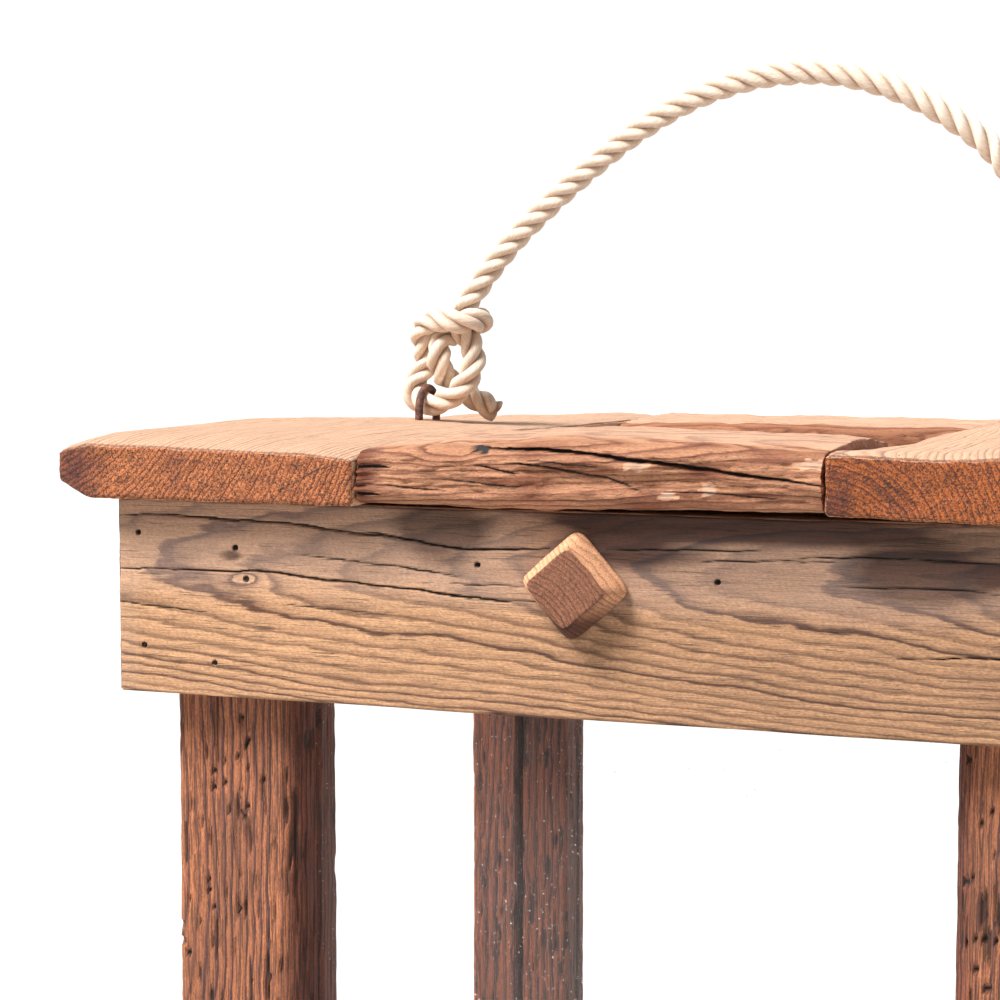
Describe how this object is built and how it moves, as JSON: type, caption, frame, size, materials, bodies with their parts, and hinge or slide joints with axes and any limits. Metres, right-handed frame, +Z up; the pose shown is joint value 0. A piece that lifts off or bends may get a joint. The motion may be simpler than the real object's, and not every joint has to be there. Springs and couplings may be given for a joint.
{
  "type": "hanging lantern",
  "caption": "Large square hanging lantern of reclaimed timber with glass panes, a board lid with a centre opening, wooden pegs and a knotted rope handle.",
  "frame": {"origin": "middle of the underside", "axes": "+Z up, -Y the front with the off-centre peg, +X to the right seen from the front"},
  "size_m": [0.46, 0.46, 0.7888],
  "materials": {
    "lid_wood": "rough weathered, sun-bleached top",
    "beam_wood": "planed old softwood, greyed",
    "post_wood": "dark worn softwood with worm holes",
    "peg_wood": "cut facets",
    "glass": "clear",
    "iron": "rusted",
    "rope": "natural fibre, laid",
    "wax": "satin wax",
    "wick": "burnt cotton",
    "plate": "blackened"
  },
  "bodies": {
    "lantern": {"base_board_left": "beam_wood", "base_board_middle": "beam_wood", "base_board_right": "beam_wood", "cleat_screw_back_left": "iron", "cleat_screw_back_middle": "iron", "cleat_screw_back_right": "iron", "cleat_screw_front_left": "iron", "cleat_screw_front_middle": "iron", "cleat_screw_front_right": "iron", "corner_nail_lower_back_left": "iron", "corner_nail_lower_back_right": "iron", "corner_nail_lower_front_left": "iron", "corner_nail_lower_front_right": "iron", "corner_nail_upper_back_left": "iron", "corner_nail_upper_back_right": "iron", "corner_nail_upper_front_left": "iron", "corner_nail_upper_front_right": "iron", "glass_back": "glass", "glass_front": "glass", "glass_left": "glass", "glass_right": "glass", "lid_board_back": "lid_wood", "lid_board_front": "lid_wood", "lid_board_left": "lid_wood", "lid_board_right": "lid_wood", "lid_cleat_back": "beam_wood", "lid_cleat_front": "beam_wood", "lower_beam_back": "beam_wood", "lower_beam_front": "beam_wood", "lower_beam_left": "beam_wood", "lower_beam_right": "beam_wood", "post_back_left": "post_wood", "post_back_right": "post_wood", "post_front_left": "post_wood", "post_front_right": "post_wood", "post_nail_lower_back_left": "iron", "post_nail_lower_back_right": "iron", "post_nail_lower_front_left": "iron", "post_nail_lower_front_right": "iron", "post_nail_upper_back_left": "iron", "post_nail_upper_back_right": "iron", "post_nail_upper_front_left": "iron", "post_nail_upper_front_right": "iron", "rope_arch": "rope", "rope_knot_left": "rope", "rope_knot_right": "rope", "staple_left": "iron", "staple_right": "iron", "upper_beam_back": "beam_wood", "upper_beam_front": "beam_wood", "upper_beam_left": "beam_wood", "upper_beam_right": "beam_wood"},
    "peg_front": {"peg_front": "peg_wood"},
    "peg_back": {"peg_back": "peg_wood"},
    "candle_set": {"candle": "wax", "candle_wick": "wick", "candle_plate": "plate"}
  },
  "joints": [
    {"name": "peg_front_pull", "type": "slide", "parent": "lantern", "child": "peg_front", "axis": [0, -1, 0], "range_m": [0, 0.066]},
    {"name": "peg_back_pull", "type": "slide", "parent": "lantern", "child": "peg_back", "axis": [0, 1, 0], "range_m": [0, 0.066]},
    {"name": "candle_lift", "type": "slide", "parent": "lantern", "child": "candle_set", "axis": [0, 0, 1], "range_m": [0, 0.57]}
  ]
}
